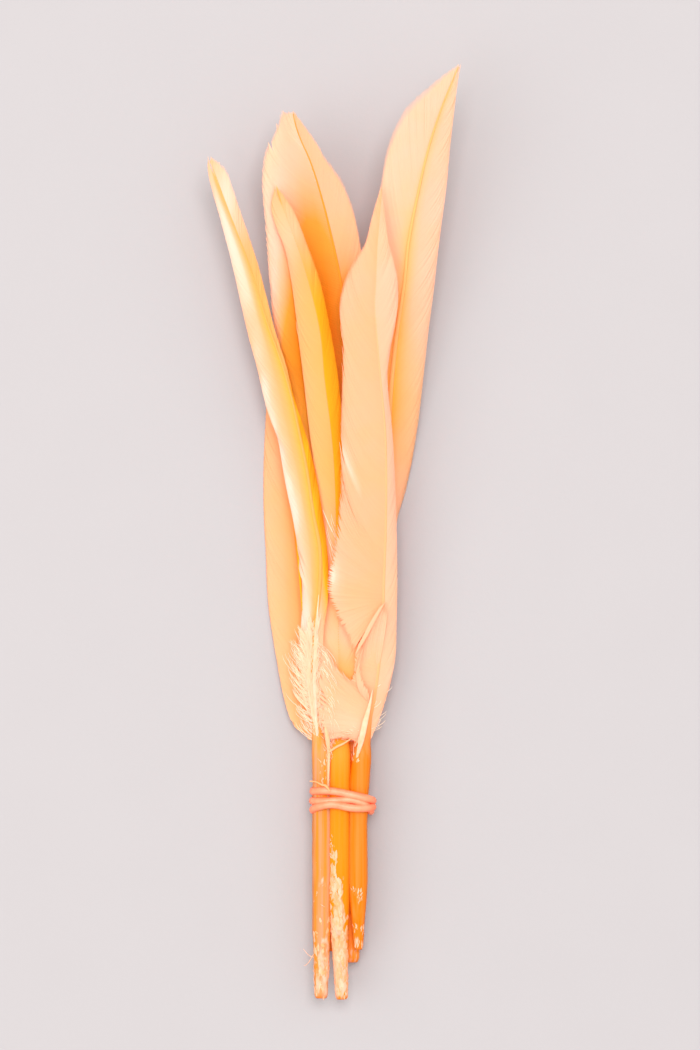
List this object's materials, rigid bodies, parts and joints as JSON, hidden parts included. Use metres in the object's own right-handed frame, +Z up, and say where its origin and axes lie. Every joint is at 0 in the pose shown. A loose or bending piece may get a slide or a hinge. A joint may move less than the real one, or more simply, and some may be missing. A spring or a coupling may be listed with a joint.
{
  "type": "goose quill feather bundle",
  "caption": "Small sheaf of narrow dyed goose quill feathers lying flat, fanned at the tips, their bare quills held side by side by a wound rubber band.",
  "frame": {"origin": "middle of the bundle's box in plan, on the surface it lies on", "axes": "+Y from the quill ends to the feather tips, +X to the right seen from above, +Z up"},
  "size_m": [0.045, 0.166, 0.0192],
  "materials": {
    "feather": "soft, dyed peach, lets light through",
    "quill": "horn, dyed orange, satin to glossy",
    "sheath": "dry flaking sheath on the quill",
    "rubber": "matte, orange-pink"
  },
  "bodies": {
    "root": {"feather_front_left": "feather", "feather_back_left": "feather", "feather_front_middle": "feather", "feather_front_right": "feather", "feather_back_right": "feather", "feather_under_left": "feather", "rubber_band": "rubber"}
  },
  "joints": []
}
